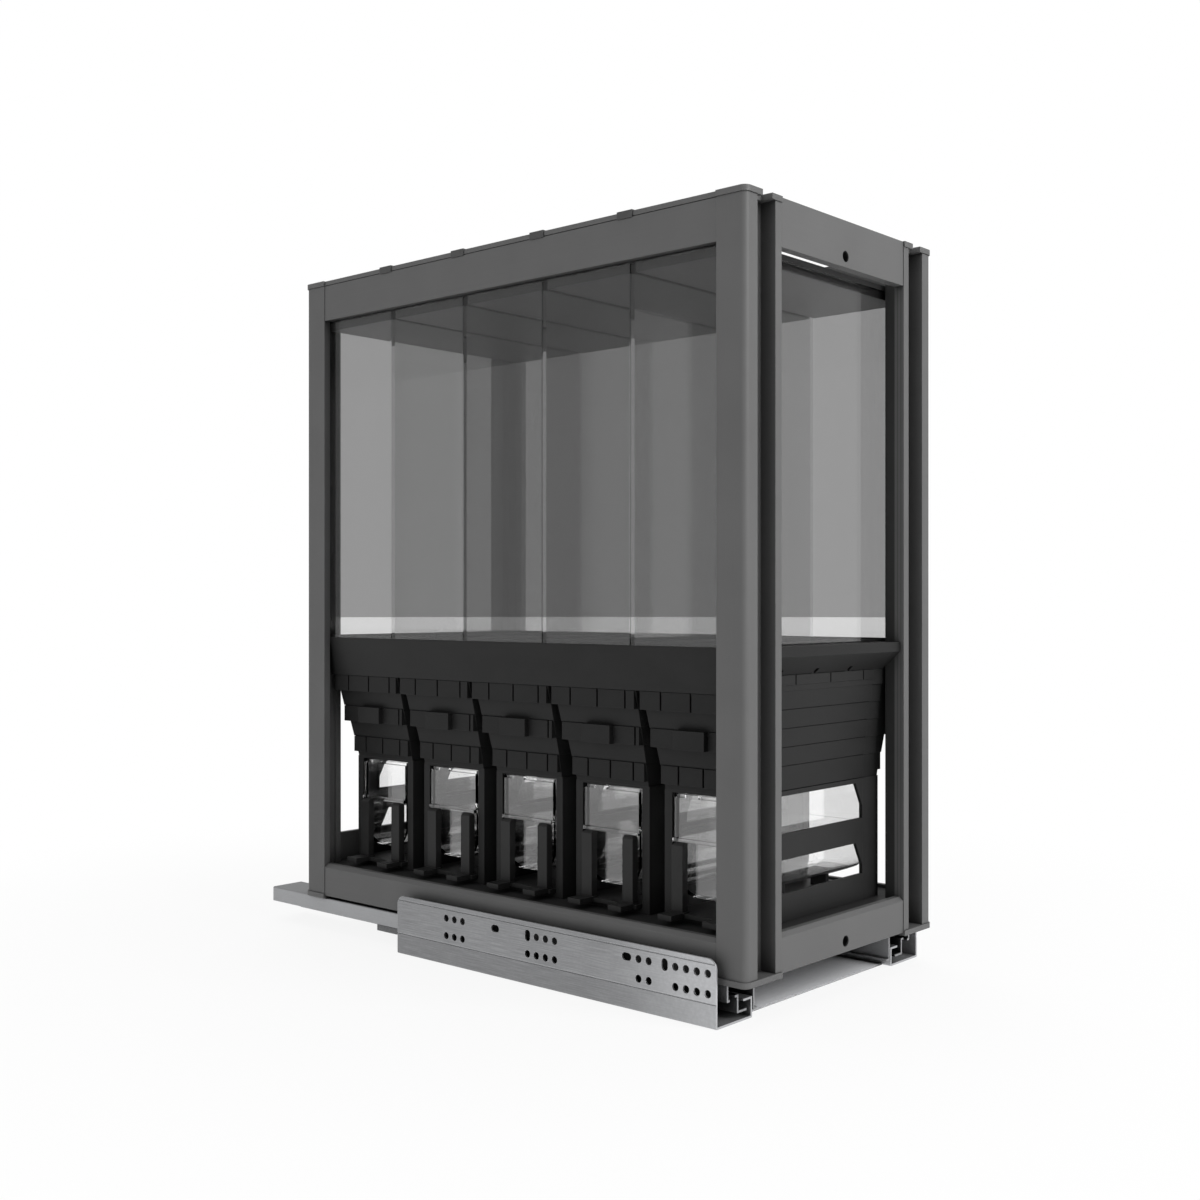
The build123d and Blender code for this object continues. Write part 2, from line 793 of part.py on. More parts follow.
def sledge_form():
    """Black sledge under a cup: floor, rests, and the two square posts that hold the front plate."""
    half = portal_half - sledge_side_gap
    form = block(-half, half, -fork_front, cup_half_y, sledge_bottom, sledge_top)
    for y in (-rest_spread, 0, rest_spread):
        form += block(-rest_half_width, rest_half_width, y - rest_thickness / 2, y + rest_thickness / 2,
                      sledge_top, cup_bottom)
    fork_outer = fork_inner + fork_width
    post = block(fork_inner, fork_outer, -fork_front, -fork_back, sledge_bottom, plate_bottom)
    top_edges = post.edges().group_by(Axis.Z)[-1]
    front_edge = top_edges.sort_by(Axis.Y)[0]
    outer_edge = top_edges.sort_by(Axis.X)[-1]
    post = chamfer([front_edge, outer_edge], fork_chamfer)
    foot = block(fork_inner - fork_foot_inner_margin, fork_outer + fork_foot_outer_margin,
                 -fork_front - fork_foot_reach, -fork_back, sledge_bottom, sledge_bottom + fork_foot_height)
    fork = post + foot
    return form + fork + in_x(fork)


def cabinet_section():
    """Section of the cabinet member on the left: tall wall, foot, upturn and hook."""
    wall = rect(runner_half_width - sheet, runner_half_width, -runner_height, cabinet_wall_top)
    foot = rect(cabinet_inner, runner_half_width, -runner_height, foot_top)
    hook_top = cabinet_upturn - runner_height
    upturn = rect(cabinet_inner, cabinet_inner + sheet, -runner_height, hook_top)
    hook = rect(cabinet_inner, cabinet_inner + cabinet_hook, hook_top - sheet, hook_top)
    section = wall + foot + upturn + hook
    low = [vertex for vertex in section.vertices() if vertex.Y < 0.1 - runner_height]
    section = fillet(low, bend_radius)
    crease_y = runner_half_width - crease_depth
    for line_z in (crease_height - runner_height, cabinet_wall_top - top_crease_drop):
        section -= rect(crease_y, runner_half_width + 1, line_z - crease_width, line_z)
    return section


def group_holes(start, columns):
    """Round holes of one group: columns by two rows, as places (back from the front end, height)."""
    low = mount_row_height - mount_row_gap
    steps = [start + mount_hole_pitch * column for column in range(columns)]
    return [(back, height) for back in steps for height in (low, mount_row_height)]


def cabinet_holes():
    """Cutters for the mounting holes and slots in the tall wall."""
    places = group_holes(front_group_start, front_group_columns)
    places += group_holes(second_group_start, second_group_columns)
    places += group_holes(third_group_start, third_group_columns)
    places += group_holes(rear_group_start, rear_group_columns)
    places.append((third_slot_place, mount_row_height - mount_row_gap))
    y0 = runner_half_width - 2 * sheet
    y1 = runner_half_width + sheet
    cutters = [rod_y(y0, y1, runner_nose - back, height, mount_hole_diameter) for back, height in places]
    slots = [(front_slot_place, mount_row_height, 90), (second_slot_place, mount_row_height, 0),
             (third_slot_place, mount_row_height, 90), (lone_slot_place, mount_row_height, 0)]
    for back, height, turn in slots:
        slot = SlotOverall(mount_slot_length, mount_hole_diameter, rotation=turn)
        slot = Pos(runner_nose - back, height) * slot
        cutters.append(along_y(slot, y0, y1))
    return cutters


def cabinet_member():
    """Runner member that is screwed to the cabinet, left side."""
    member = along_x(cabinet_section(), cabinet_tail, runner_nose)
    top_corners = [edge for edge in member.edges().filter_by(Axis.Y)
                   if edge.center().Z > cabinet_wall_top - 0.1 and abs(edge.length - sheet) < 0.6]
    member = fillet(top_corners, cabinet_nose_radius)
    for cutter in cabinet_holes():
        member -= cutter
    return member


def middle_member():
    """Sliding member between the other two, left side."""
    inner = middle_outer - sheet
    web = rect(inner, middle_outer, -middle_bottom, -middle_top)
    foot = rect(middle_outer - middle_foot, middle_outer, -middle_bottom, sheet - middle_bottom)
    lip = rect(inner, middle_outer + middle_lip, -middle_top - sheet, -middle_top)
    section = web + foot + lip
    return along_x(section, middle_tail, runner_nose)


def drawer_member():
    """Runner member under the frame, left side."""
    inner = drawer_outer - drawer_width
    top = rect(inner, drawer_outer, -sheet, 0)
    outer_wall = rect(drawer_outer - sheet, drawer_outer, -drawer_outer_drop, 0)
    outer_foot = rect(drawer_outer - drawer_foot, drawer_outer, -drawer_outer_drop, sheet - drawer_outer_drop)
    inner_wall = rect(inner, inner + sheet, -drawer_inner_drop, 0)
    inner_foot = rect(inner - drawer_foot, inner + sheet, -drawer_inner_drop, sheet - drawer_inner_drop)
    section = top + outer_wall + outer_foot + inner_wall + inner_foot
    upper = [vertex for vertex in section.vertices() if vertex.Y > -0.1]
    section = fillet(upper, bend_radius)
    member = along_x(section, drawer_tail, runner_nose)
    for x in runner_screw_places():
        member -= rod_z(-2 * sheet, sheet, x, runner_screw_y(), runner_screw_diameter + 2 * screw_gap)
    return member


def runner_screw_y():
    """Line of the drawer member screws, inboard of the rail."""
    return rail_inner_y - runner_screw_inset


def runner_screws():
    """Screws up through the drawer members into the bottom rails."""
    screws = []
    for x in runner_screw_places():
        y = runner_screw_y()
        screw = rod_z(-sheet, runner_screw_length - sheet, x, y, runner_screw_diameter)
        screw += rod_z(-sheet - runner_screw_head_height, -sheet, x, y, runner_screw_head_diameter)
        screws += [screw, in_y(screw)]
    return group(screws)


def base_plate():
    """Plate that ties the two cabinet members together."""
    rear = cabinet_tail + base_plate_rear
    front = runner_nose - base_plate_front
    return block(rear, front, -cabinet_inner, cabinet_inner, -runner_height, foot_top)


def roller_places():
    """Places of the rollers along X, about the middle of the middle member."""
    centre = (runner_nose + middle_tail) / 2
    return [centre + (index - (roller_count - 1) / 2) * roller_pitch for index in range(roller_count)]


def roller_row(y0, y1, z, diameter, axle_end):
    """Rollers between y0 and y1 with their axles reaching to axle_end, both sides."""
    rollers = []
    for x in roller_places():
        roller = rod_y(y0, y1, x, z, diameter)
        roller += rod_y(min(y0, axle_end), max(y1, axle_end), x, z, axle_diameter)
        rollers += [roller, in_y(roller)]
    return rollers


def roller_cage(y0, z):
    """Bar that spaces the rollers of one row, both sides."""
    places = roller_places()
    cage = block(places[0] - cage_margin, places[-1] + cage_margin, y0, y0 + cage_thickness,
                 z - cage_height / 2, z + cage_height / 2)
    for x in places:
        cage -= rod_y(y0 - 1, y0 + cage_thickness + 1, x, z, axle_diameter + 2 * screw_gap)
    return [cage, in_y(cage)]


def roller_sets():
    """Upper and lower rollers and their cages."""
    upper_gap = middle_top - sheet
    upper_diameter = upper_gap - roller_rail_gap - roller_seat_gap
    upper_z = roller_seat_gap + upper_diameter / 2 - middle_top
    upper_y = middle_outer - sheet
    upper_cage_y = upper_y - cage_side_gap - cage_thickness
    lower_gap = runner_height - sheet - middle_bottom
    lower_diameter = lower_gap - roller_rail_gap - roller_seat_gap
    lower_z = -middle_bottom - roller_seat_gap - lower_diameter / 2
    lower_y = middle_outer - middle_foot + roller_side_gap
    lower_cage_y = lower_y + lower_roller_length + cage_side_gap
    rollers = roller_row(upper_y, upper_y + roller_length, upper_z, upper_diameter, upper_cage_y)
    rollers += roller_row(lower_y, lower_y + lower_roller_length, lower_z, lower_diameter,
                          lower_cage_y + cage_thickness)
    cages = roller_cage(upper_cage_y, upper_z) + roller_cage(lower_cage_y, lower_z)
    return group(rollers), group(cages)


def build():
    """Every node of the part, by name."""
    nodes = {}
    for corner, post in corner_posts().items():
        nodes["post_" + corner] = post
    nodes["post_caps_bottom"], nodes["post_caps_top"] = post_caps()
    for level, rail in (("top", top_long_rail()), ("bottom", bottom_long_rail())):
        nodes[level + "_rail_left"] = rail
        nodes[level + "_rail_right"] = in_y(rail)
    nodes["top_rail_front"] = end_rail(top_rail_bottom, top_rail_top, end_rail_end)
    nodes["top_rail_rear"] = in_x(end_rail(top_rail_bottom, top_rail_top, rear_rail_end))
    nodes["bottom_rail_front"] = bottom_end_rail(bottom_rail_top, end_rail_end)
    nodes["bottom_rail_rear"] = in_x(bottom_end_rail(rear_bottom_rail_top, rear_rail_end))
    nodes["frame_screws"] = frame_screws()
    nodes["floor_plate"] = floor_plate()
    nodes["container_tray"] = container_tray()
    nodes["container_clips"] = container_clips()
    hopper = hopper_form()
    stand = stand_form()
    cup = cup_form()
    sledge = sledge_form()
    for number, x in enumerate(bay_places, start=1):
        nodes[f"container_{number}"] = container(x)
        nodes[f"lid_{number}"] = lid(x)
        nodes[f"hopper_{number}"] = Pos(x, 0, 0) * hopper
        nodes[f"stand_{number}"] = Pos(x, 0, 0) * stand
        nodes[f"cup_{number}"] = Pos(x, 0, 0) * cup
        nodes[f"cup_sledge_{number}"] = Pos(x, 0, 0) * sledge
    members = {"cabinet": cabinet_member(), "middle": middle_member(), "drawer": drawer_member()}
    for name, member in members.items():
        nodes[name + "_member_left"] = member
        nodes[name + "_member_right"] = in_y(member)
    nodes["runner_screws"] = runner_screws()
    nodes["runner_rollers"], nodes["roller_cages"] = roller_sets()
    nodes["base_plate"] = base_plate()
    return nodes


os.makedirs("parts", exist_ok=True)
for node, shape in build().items():
    export_step(place * shape, "parts/" + node + ".step")
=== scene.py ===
import math

import bpy
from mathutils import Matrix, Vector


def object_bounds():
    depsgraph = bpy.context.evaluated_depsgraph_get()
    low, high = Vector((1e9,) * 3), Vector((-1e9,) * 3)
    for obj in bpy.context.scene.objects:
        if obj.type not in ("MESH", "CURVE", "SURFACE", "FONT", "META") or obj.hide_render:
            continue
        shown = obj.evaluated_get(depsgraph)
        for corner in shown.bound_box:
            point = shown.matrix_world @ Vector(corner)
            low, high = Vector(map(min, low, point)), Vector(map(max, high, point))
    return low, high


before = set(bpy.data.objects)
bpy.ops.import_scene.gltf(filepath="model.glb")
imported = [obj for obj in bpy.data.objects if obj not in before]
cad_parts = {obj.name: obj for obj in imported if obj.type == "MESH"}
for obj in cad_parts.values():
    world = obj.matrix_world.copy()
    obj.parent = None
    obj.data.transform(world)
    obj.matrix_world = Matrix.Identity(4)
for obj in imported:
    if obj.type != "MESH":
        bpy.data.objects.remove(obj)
cad_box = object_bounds()

MM = 0.001
X, Y, Z = 0, 1, 2
CHANNELS = range(1, 6)

# A Mix node's colour sockets
MIX_LOW = 6
MIX_HIGH = 7
MIX_COLOUR = 2

# How far a normal turns on an edge, and how much of the sky a hollow loses for painted shade, from none to
# full
EDGE_TURN = (0.02, 0.2)
EDGE_SAMPLES = 4
RECESS_LOSS = (0.12, 0.75)
RECESS_SAMPLES = 6

# The part of each noise, from low to high, over which its colour changes
CLOUD_RANGE = (0.3, 0.7)
SPECKLE_RANGE = (0.3, 0.75)
ROLLED_RANGE = (0.35, 0.7)
SPANGLE_RANGE = (0.1, 0.8)
FILM_RANGE = (0.4, 0.7)

# Tints, and the two shades of the rollers' plastic
WHITE = (1.0, 1.0, 1.0)
ZINC = (0.985, 0.995, 1.02)
ROLLER_DULL = (0.62, 0.61, 0.56, 1.0)
ROLLER_PALE = (0.74, 0.73, 0.69, 1.0)

# Graphite coating on the bars: grey levels, how much of the grain and the wear shows, gloss
GRAPHITE_LOW = 0.105
GRAPHITE_HIGH = 0.115
GRAPHITE_GRAIN = 0.135
GRAPHITE_WORN = 0.2
# Grey of the painted shade in the grooves and corners of the bars
GRAPHITE_PAINTED_SHADE = 0.022
GRAIN_SHOWS = 0.3
WEAR_SHOWS = 0.35
GRAPHITE_ROUGHNESS = 0.46
GRAPHITE_GLOSS = 0.36
DRAWN_STRETCH = 0.012

# How far the painted shade of a groove or a corner reaches on the bars
LONG_BAR_SHADE = 22 * MM
CROSS_BAR_SHADE = 12 * MM

# The dark seal strip on the inner face of each front post, and the fine ribs beside it
POST_INNER_FACE = 81.6 * MM
SEAL_EDGE = 250.0 * MM
SEAL_BLUR = 0.3 * MM
SEAL_LEVEL = 0.02
SEAL_SHOWS = 0.9
RIB_PITCH = 2.8 * MM
RIB_HALF_WIDTH = 0.5 * MM
RIB_SHOWS = 0.6

# Moulded plastic: its flow marks, and the painted shade in its gaps, against its own grey level
FLOW_LOW = 0.92
FLOW_HIGH = 1.1
# Share of the plastic's grey left in the painted shade of its gaps
GAP_PAINTED_SHADE = 0.5
GAP_SHADE = 9 * MM
PLASTIC_WEAR_SHOWS = 0.5

# Zinc plated steel: a painted reflection pales it towards the front end, its edges are lighter as bare cut
# edges and as a painted highlight, and painted shade darkens its channels
# Span along the runner over which the painted reflection pales the zinc
PAINTED_REFLECTION_SPAN = (130 * MM, 250 * MM)
PAINTED_REFLECTION_SHARE = 0.88
HAZE_SHARE = 0.12
# Grey of the lighter edges, partly bare cut edges and partly a painted highlight, and of the crease's
# painted highlight
ZINC_CUT_AND_HIGHLIGHT = 0.85
CUT_AND_HIGHLIGHT_SHOWS = 0.7
# Grey of the painted shade in the channels and corners of the zinc parts
ZINC_PAINTED_SHADE = 0.012
ZINC_INSIDE_SHADE = 26 * MM
ZINC_ROUGHNESS = 0.38
ROLLED_LIGHT = 1.3
ROLLED_SHOWS = 0.2
ROLLED_STRETCH = (0.02, 1.0, 1.0)
SPANGLE_SIZE = 2.4 * MM
SPANGLE_DARK = 0.8
SPANGLE_SHOWS = 0.12

# The crease along the runner's wall: a painted highlight on its line and painted shade below it
RUNNER_CREASE = 16.5 * MM
CREASE_BLUR = 0.4 * MM
CREASE_HIGHLIGHT_WIDTH = (0.3 * MM, 0.9 * MM)
CREASE_HIGHLIGHT_SHOWS = 0.15
SHADE_BELOW_CREASE = 0.14

# The mirror coat over the clear mouldings
COAT_BEND = 1.5

# The photograph's camera, level with the middle of the containers: metres, degrees, millimetres
CAMERA_PLACE = (0.8164, -0.8987, 0.2826)
CAMERA_TURN = 41.45
CAMERA_LENS = 43.68
CAMERA_SENSOR = 36.0
CAMERA_NEAR = 0.01

# How bright the sky is above the horizon, and as light on the object. Below the horizon it is white
SKY_THROUGH_GLASS = 0.457
SKY_IN_GLOSS = 0.5
SKY_LIGHT = 0.42
HORIZON = -0.0117

# The floor glows a little less than white as far as the shadow goes, and white beyond it
FLOOR_DROP = 0.3 * MM
FLOOR_REACH = 4.0
FLOOR_CORNERS = 96
FLOOR_WHITE = 0.86
FLOOR_GLOW = 0.88
SHADOW_REACH = (0.3, 0.8)

LAMPS = {
    "front_lamp": dict(place=(2.3, 0.25, 1.35), aim=(0.1, 0.0, 0.25), size=1.3, power=43.0, gloss=True),
    "side_lamp": dict(place=(0.0, -2.6, 1.2), aim=(0.0, 0.0, 0.25), size=1.6, power=17.0, gloss=False),
    "top_lamp": dict(place=(-0.3, 0.4, 2.4), aim=(0.0, 0.0, 0.3), size=1.8, power=16.0, gloss=False),
    "back_lamp": dict(place=(-1.9, 1.6, 1.0), aim=(0.0, 0.0, 0.3), size=1.4, power=12.0, gloss=False),
}

# Bounces of light, enough to cross all the panes
PANE_BOUNCES = 40
GLOSS_BOUNCES = 6


class Field:
    """A number or a colour that varies over a surface: one output of a node."""

    def __init__(self, finish, socket):
        self.finish = finish
        self.socket = socket

    def output(self, name):
        """Another output of the same node."""
        return Field(self.finish, self.socket.node.outputs[name])

    def maths(self, operation, *values):
        return self.finish.node("Math", dict(operation=operation), dict(enumerate(values)))

    def __add__(self, other):
        return self.maths("ADD", self, other)

    __radd__ = __add__

    def __sub__(self, other):
        return self.maths("SUBTRACT", self, other)

    def __rsub__(self, other):
        return self.maths("SUBTRACT", other, self)

    def __mul__(self, other):
        return self.maths("MULTIPLY", self, other)

    __rmul__ = __mul__

    def above(self, level):
        """1 where the field is over that level, 0 elsewhere."""
        return self.maths("GREATER_THAN", self, level)

    def unsigned(self):
        """How far the field is from 0."""
        return self.maths("ABSOLUTE", self)

    def folded(self, width):
        """The field folded to and fro between 0 and width."""
        return self.maths("PINGPONG", self, width)

    def clamped(self, low, high):
        return self.maths("MINIMUM", self.maths("MAXIMUM", self, low), high)

    def eased(self, low, high):
        """0 below low, 1 above high, and a smooth step between them."""
        sockets = {"Value": self, "From Min": low, "From Max": high}
        return self.finish.node("MapRange", dict(interpolation_type="SMOOTHSTEP"), sockets)


class Finish:
    """The nodes of one material or of the world."""

    def __init__(self, tree):
        self.tree = tree
        self.tree.nodes.clear()

    def node(self, kind, settings=None, sockets=None, out=0):
        """Adds a node: its settings first, then the values or links of its sockets. Returns one output."""
        made = self.tree.nodes.new("ShaderNode" + kind)
        for name, value in (settings or {}).items():
            setattr(made, name, value)
        for name, value in (sockets or {}).items():
            if isinstance(value, Field):
                self.tree.links.new(value.socket, made.inputs[name])
            else:
                made.inputs[name].default_value = value
        return Field(self, made.outputs[out]) if made.outputs else made

    def place(self):
        """Where a point lies on the object, in metres, and it rides with its body."""
        return self.node("TexCoord", out="Object")

    def split(self, vector):
        """A vector's X. The result's output() gives its Y and Z."""
        return self.node("SeparateXYZ", None, {0: vector}, out="X")

    def stretched(self, scale):
        """The place, scaled along each axis."""
        return self.node("VectorMath", dict(operation="MULTIPLY"), {0: self.place(), 1: scale})

    def noise(self, size, detail, roughness=0.5, scale=(1.0, 1.0, 1.0)):
        """Soft random field from 0 to 1 with features of that size in metres."""
        return self.node("TexNoise", None, {
            "Vector": self.stretched(scale), "Scale": 1.0 / size, "Detail": detail, "Roughness": roughness})

    def mix(self, factor, low, high):
        """Colour between low and high."""
        sockets = {0: factor, MIX_LOW: low, MIX_HIGH: high}
        return self.node("Mix", dict(data_type="RGBA"), sockets, out=MIX_COLOUR)

    def soft_edges(self, width):
        """Normal that rounds every edge by a small radius."""
        return self.node("Bevel", dict(samples=EDGE_SAMPLES), {"Radius": width})

    def edges(self, width):
        """1 on an outside or inside edge, 0 on a flat face."""
        rounded = self.soft_edges(width)
        flat = self.node("NewGeometry", out="Normal")
        turn = self.node("VectorMath", dict(operation="DOT_PRODUCT"), {0: rounded, 1: flat}, out="Value")
        return (1.0 - turn).eased(*EDGE_TURN)

    def recess_shade(self, reach, alone=False):
        """Mask of painted shade: 0 on an open face, 1 deep in a groove, a channel or a corner, of the piece
        alone if asked.
        """
        settings = dict(samples=RECESS_SAMPLES, only_local=alone)
        open_sky = self.node("AmbientOcclusion", settings, {"Distance": reach}, out="AO")
        return (1.0 - open_sky).eased(*RECESS_LOSS)

    def bump(self, height, distance, strength, normal=None):
        """Normal with that relief, over a normal if one is given."""
        sockets = {"Height": height, "Distance": distance, "Strength": strength}
        if normal is not None:
            sockets["Normal"] = normal
        return self.node("Bump", None, sockets)

    def surface(self, shader):
        self.node("OutputMaterial", None, {"Surface": shader})


def grey(value, tint=WHITE):
    """A colour of that linear value, slightly tinted."""
    return (value * tint[0], value * tint[1], value * tint[2], 1.0)


def new_finish(name):
    """A new material, and its nodes with nothing in them yet."""
    material = bpy.data.materials.new(name)
    material.use_nodes = True
    return material, Finish(material.node_tree)


def seal_strip(finish):
    """How much shows of the seal strip on a front post's inner face, and of the ribs beside it."""
    along = finish.split(finish.place())
    reach = along.unsigned()
    side = along.output("Y")
    inner = 1.0 - side.unsigned().above(POST_INNER_FACE)
    strip = 1.0 - reach.eased(SEAL_EDGE - SEAL_BLUR, SEAL_EDGE + SEAL_BLUR)
    rib = 1.0 - (reach - SEAL_EDGE).folded(RIB_PITCH / 2).eased(0.0, RIB_HALF_WIDTH)
    return inner * (strip * SEAL_SHOWS + rib * RIB_SHOWS * (1.0 - strip))


def coated_metal(name, along, shade_reach, sealed=False):
    """Graphite coating on extruded bars: fine grain, faint drawn lines, worn edges, painted shade in grooves
    and corners.
    """
    material, finish = new_finish(name)
    stretch = [1.0, 1.0, 1.0]
    stretch[along] = DRAWN_STRETCH
    drawn_lines = finish.noise(size=0.9 * MM, detail=3.0, scale=stretch)
    grain = finish.noise(size=0.45 * MM, detail=4.0, roughness=0.6)
    clouds = finish.noise(size=60 * MM, detail=3.0)
    speckle = (grain * 0.6 + drawn_lines * 0.4).eased(*SPECKLE_RANGE)
    edge = finish.edges(width=0.7 * MM)
    shade = finish.mix(clouds.eased(*CLOUD_RANGE), grey(GRAPHITE_LOW), grey(GRAPHITE_HIGH))
    shade = finish.mix(speckle * GRAIN_SHOWS, shade, grey(GRAPHITE_GRAIN))
    shade = finish.mix(edge * WEAR_SHOWS, shade, grey(GRAPHITE_WORN))
    # Painted shade in grooves and corners
    shade = finish.mix(finish.recess_shade(shade_reach), shade, grey(GRAPHITE_PAINTED_SHADE))
    if sealed:
        shade = finish.mix(seal_strip(finish), shade, grey(SEAL_LEVEL))
    relief = grain * 0.7 + drawn_lines * 0.3
    soft_edges = finish.soft_edges(width=0.5 * MM)
    shader = finish.node("BsdfPrincipled", None, {
        "Base Color": shade,
        "Roughness": GRAPHITE_ROUGHNESS + clouds * 0.08 + grain * 0.06 - edge * 0.06,
        "Specular IOR Level": GRAPHITE_GLOSS,
        "Normal": finish.bump(relief, distance=0.03 * MM, strength=0.55, normal=soft_edges),
    })
    finish.surface(shader)
    return material


def moulded_plastic(name, level, worn_level, roughness, gloss=0.14, pit_size=0.35 * MM):
    """Moulded plastic: fine spark texture, uneven gloss, paler edges, painted shade in gaps."""
    material, finish = new_finish(name)
    pitting = finish.noise(size=pit_size, detail=3.0, roughness=0.65)
    flow = finish.noise(size=35 * MM, detail=4.0, roughness=0.55, scale=(1.0, 0.6, 1.6))
    edge = finish.edges(width=0.6 * MM)
    shade = finish.mix(flow.eased(*CLOUD_RANGE), grey(level * FLOW_LOW), grey(level * FLOW_HIGH))
    shade = finish.mix(edge * PLASTIC_WEAR_SHOWS, shade, grey(worn_level))
    # Painted shade in the gaps between parts
    shade = finish.mix(finish.recess_shade(GAP_SHADE), shade, grey(level * GAP_PAINTED_SHADE))
    soft_edges = finish.soft_edges(width=0.45 * MM)
    shader = finish.node("BsdfPrincipled", None, {
        "Base Color": shade,
        "Roughness": roughness + (flow - 0.5) * 0.16 + (pitting - 0.5) * 0.1,
        "Specular IOR Level": gloss,
        "Normal": finish.bump(pitting, distance=0.035 * MM, strength=0.6, normal=soft_edges),
    })
    finish.surface(shader)
    return material


def creased(finish, shade, height, crease):
    """The zinc's colour with painted shade below the crease and a painted highlight along it."""
    below = 1.0 - height.eased(crease - CREASE_BLUR, crease + CREASE_BLUR)
    crease_highlight = 1.0 - (height - crease).unsigned().eased(*CREASE_HIGHLIGHT_WIDTH)
    # Painted shade below the crease
    shade = finish.mix(below * SHADE_BELOW_CREASE, shade, grey(0.0))
    # Painted highlight along the crease
    return finish.mix(crease_highlight * CREASE_HIGHLIGHT_SHOWS, shade, grey(ZINC_CUT_AND_HIGHLIGHT, ZINC))


def zinc_steel(name, low, high, metallic=0.8, crease=None):
    """Zinc plated sheet: rolled lines along the runner, fine spangle, a painted reflection that pales it
    towards the front end, edges lighter as bare cut edges and as a painted highlight, painted shade in its
    channels.
    """
    material, finish = new_finish(name)
    rolled = finish.noise(size=0.5 * MM, detail=3.0, scale=ROLLED_STRETCH)
    cells = {"Vector": finish.place(), "Scale": 1.0 / SPANGLE_SIZE}
    spangle = finish.node("TexVoronoi", dict(feature="F1"), cells)
    haze = finish.noise(size=45 * MM, detail=4.0)
    edge = finish.edges(width=0.5 * MM)
    along = finish.split(finish.place())
    # Random haze, and the painted reflection that pales the zinc towards the front end
    haze_and_painted_reflection = haze.eased(*CLOUD_RANGE) * HAZE_SHARE + along.eased(*PAINTED_REFLECTION_SPAN) * PAINTED_REFLECTION_SHARE
    shade = finish.mix(haze_and_painted_reflection, grey(low, ZINC), grey(high, ZINC))
    shade = finish.mix(rolled.eased(*ROLLED_RANGE) * ROLLED_SHOWS, shade, grey(high * ROLLED_LIGHT, ZINC))
    shade = finish.mix(spangle.eased(*SPANGLE_RANGE) * SPANGLE_SHOWS, shade, grey(low * SPANGLE_DARK, ZINC))
    # Painted shade below the wall member's crease and a painted highlight along it
    if crease is not None:
        shade = creased(finish, shade, along.output("Z"), crease)
    # Lighter edges: partly bare cut edges, partly a painted highlight on the rims
    shade = finish.mix(edge * CUT_AND_HIGHLIGHT_SHOWS, shade, grey(ZINC_CUT_AND_HIGHLIGHT, ZINC))
    # Painted shade in the channels and corners
    inside = finish.recess_shade(ZINC_INSIDE_SHADE, alone=crease is not None)
    shade = finish.mix(inside, shade, grey(ZINC_PAINTED_SHADE))
    relief = rolled * 0.7 + spangle * 0.3
    soft_edges = finish.soft_edges(width=0.35 * MM)
    shader = finish.node("BsdfPrincipled", None, {
        "Base Color": shade,
        "Metallic": metallic,
        "Roughness": ZINC_ROUGHNESS + haze * 0.14 + rolled * 0.08 - edge * 0.1,
        "Normal": finish.bump(relief, distance=0.02 * MM, strength=0.5, normal=soft_edges),
    })
    finish.surface(shader)
    return material


def clear_plastic(name, tint, bend, mirror, roughness, ripple, haze):
    """Clear or smoked moulding: it bends light, mirrors the room, and has a faint ripple and haze."""
    material, finish = new_finish(name)
    waves = finish.noise(size=ripple, detail=1.0)
    film = finish.noise(size=40 * MM, detail=2.0, scale=(1.0, 1.0, 0.4))
    body = finish.node("BsdfPrincipled", None, {
        "Base Color": tint,
        "Roughness": roughness + film.eased(*FILM_RANGE) * haze,
        "IOR": bend,
        "Transmission Weight": 1.0,
        "Coat Weight": mirror,
        "Coat Roughness": roughness,
        "Coat IOR": COAT_BEND,
        "Normal": finish.bump(waves, distance=0.03 * MM, strength=0.15),
    })
    shadow = finish.node("BsdfTransparent", None, {"Color": tint})
    rays = finish.node("LightPath", out="Is Shadow Ray")
    finish.surface(finish.node("MixShader", None, {0: rays, 1: body, 2: shadow}))
    return material


def natural_plastic(name):
    """Off-white plastic of the rollers, a little greasy."""
    material, finish = new_finish(name)
    smear = finish.noise(size=4 * MM, detail=4.0)
    shader = finish.node("BsdfPrincipled", None, {
        "Base Color": finish.mix(smear.eased(*CLOUD_RANGE), ROLLER_DULL, ROLLER_PALE),
        "Roughness": 0.28 + smear * 0.2,
        "Normal": finish.bump(smear, distance=0.02 * MM, strength=0.3),
    })
    finish.surface(shader)
    return material


def dress(material, *starts):
    """Gives a material to every node whose name starts with one of the words."""
    for name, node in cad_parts.items():
        if name.startswith(starts):
            node.data.materials.clear()
            node.data.materials.append(material)


def dress_frame():
    """Posts, rails, and their caps."""
    uprights = coated_metal("graphite_upright", along=Z, shade_reach=LONG_BAR_SHADE, sealed=True)
    long_rails = coated_metal("graphite_long", along=X, shade_reach=LONG_BAR_SHADE)
    cross_rails = coated_metal("graphite_cross", along=Y, shade_reach=CROSS_BAR_SHADE)
    caps = moulded_plastic("cap_plastic", level=0.115, worn_level=0.2, roughness=0.5, gloss=0.36)
    dress(uprights, "post_front", "post_rear")
    dress(long_rails, "top_rail_left", "top_rail_right", "bottom_rail_left", "bottom_rail_right")
    dress(cross_rails, "top_rail_front", "top_rail_rear", "bottom_rail_front", "bottom_rail_rear")
    dress(caps, "post_caps")


